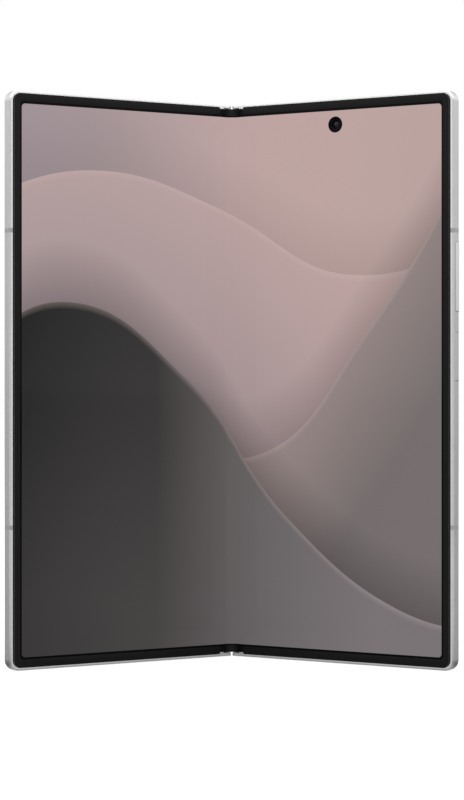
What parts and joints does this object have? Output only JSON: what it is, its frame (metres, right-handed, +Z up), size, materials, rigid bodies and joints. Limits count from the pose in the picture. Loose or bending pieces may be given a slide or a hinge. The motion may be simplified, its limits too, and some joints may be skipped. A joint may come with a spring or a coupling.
{
  "type": "foldable smartphone",
  "caption": "Book-style foldable phone standing half open, with a flexible inner screen, geared hinge, cover screen, rear cameras and side keys.",
  "frame": {"origin": "middle of the footprint, on the surface that the phone's bottom edges stand on", "axes": "+Z up along the fold, +X to the right as the inner screen is viewed, +Y away from that viewer"},
  "size_m": [0.1242, 0.0412, 0.1584],
  "materials": {
    "frame_metal": "bead-blasted satin",
    "spine_metal": "polished satin",
    "bezel": "matte black",
    "screen": "satin film over a lit screen",
    "end_strip": "soft matte black",
    "antenna": "matte grey",
    "hinge_steel": "machined",
    "support_sheet": "rolled",
    "screw_steel": "blackened",
    "copper": "copper under clear film",
    "board": "solder mask",
    "shield": "tinned",
    "battery": "wrapped pouch",
    "cover_glass": "polished",
    "back_glass": "frosted, coated behind",
    "panel": "dark panel",
    "module_black": "matte black",
    "lens_ring": "turned and anodised",
    "lens_glass": "coated",
    "flash": "diffuser",
    "motor_metal": "plated"
  },
  "bodies": {
    "hinge_spine": {"spine_cover": "spine_metal", "hinge_base_bottom": "hinge_steel", "hinge_base_top": "hinge_steel", "hinge_springs": "hinge_steel", "hinge_screws": "screw_steel", "display_fold_strip": "screen", "hinge_lattice": "support_sheet", "hinge_end_strip_bottom": "end_strip", "hinge_end_strip_top": "end_strip", "hinge_flex_cable": "copper"},
    "left_half": {"left_frame": "frame_metal", "left_bezel": "bezel", "inner_display_left": "screen", "display_plate_left": "support_sheet", "left_antenna_bands": "antenna", "left_rotators": "hinge_steel", "flex_tail_left": "copper", "battery_left": "battery", "sub_board": "board", "earpiece": "module_black", "vibration_motor": "motor_metal", "sim_socket": "shield", "cover_display_panel": "panel", "cover_display_glass": "cover_glass", "cover_camera": "module_black", "left_screws": "screw_steel"},
    "right_half": {"right_frame": "frame_metal", "right_bezel": "bezel", "inner_display_right": "screen", "display_plate_right": "support_sheet", "right_antenna_bands": "antenna", "right_rotators": "hinge_steel", "flex_tail_right": "copper", "battery_right": "battery", "main_board": "board", "shield_cans": "shield", "port_board": "board", "usb_c_port": "shield", "bottom_speaker": "module_black", "charging_coil": "copper", "camera_wide": "module_black", "camera_ultrawide": "module_black", "camera_tele": "module_black", "camera_island": "frame_metal", "camera_lens_rings": "lens_ring", "camera_lens_glasses": "lens_glass", "flash_led": "flash", "inner_camera": "module_black", "back_glass": "back_glass", "key_switches": "copper", "right_screws": "screw_steel"},
    "left_arm": {"left_gear_arms": "hinge_steel"},
    "right_arm": {"right_gear_arms": "hinge_steel"},
    "left_idler": {"left_idler_gears": "hinge_steel"},
    "right_idler": {"right_idler_gears": "hinge_steel"},
    "volume_rocker": {"volume_key": "frame_metal"},
    "power_button": {"power_key": "frame_metal"},
    "tray": {"sim_tray": "frame_metal"}
  },
  "joints": [
    {"name": "fold_left", "type": "hinge", "parent": "hinge_spine", "child": "left_half", "pos_m": [-0.0013, 0.01746, 0.0792], "axis": [0, 0, 1], "range_deg": [-32, 58], "deforming": ["display_fold_strip", "hinge_lattice", "hinge_end_strip_bottom", "hinge_end_strip_top", "hinge_flex_cable"]},
    {"name": "fold_right", "type": "hinge", "parent": "hinge_spine", "child": "right_half", "pos_m": [0.0013, 0.01746, 0.0792], "axis": [0, 0, -1], "range_deg": [-32, 58]},
    {"name": "arm_left", "type": "hinge", "parent": "hinge_spine", "child": "left_arm", "pos_m": [-0.0018, 0.01861, 0.0792], "axis": [0, 0, 1], "range_deg": [-32, 58]},
    {"name": "arm_right", "type": "hinge", "parent": "hinge_spine", "child": "right_arm", "pos_m": [0.0018, 0.01861, 0.0792], "axis": [0, 0, -1], "range_deg": [-32, 58]},
    {"name": "idler_left_spin", "type": "hinge", "parent": "hinge_spine", "child": "left_idler", "pos_m": [-0.0006, 0.01861, 0.0792], "axis": [0, 0, -1], "range_deg": [-32, 58]},
    {"name": "idler_right_spin", "type": "hinge", "parent": "hinge_spine", "child": "right_idler", "pos_m": [0.0006, 0.01861, 0.0792], "axis": [0, 0, 1], "range_deg": [-32, 58]},
    {"name": "volume_rock", "type": "hinge", "parent": "right_half", "child": "volume_rocker", "pos_m": [0.05975, -0.01771, 0.1075], "axis": [0.5299, 0.848, 0], "range_deg": [-1.2, 1.2], "stiffness_Nm_per_rad": 0.6},
    {"name": "power_press", "type": "slide", "parent": "right_half", "child": "power_button", "axis": [-0.848, 0.5299, 0], "range_m": [0, 0.00022], "stiffness_N_per_m": 2000},
    {"name": "tray_slide", "type": "slide", "parent": "left_half", "child": "tray", "axis": [0, 0, 1], "range_m": [0, 0.0185]}
  ],
  "couplings": [
    {"joint": "fold_right", "follows": "fold_left", "ratio": 1},
    {"joint": "arm_left", "follows": "fold_left", "ratio": 1},
    {"joint": "arm_right", "follows": "fold_left", "ratio": 1},
    {"joint": "idler_left_spin", "follows": "fold_left", "ratio": 1},
    {"joint": "idler_right_spin", "follows": "fold_left", "ratio": 1}
  ]
}
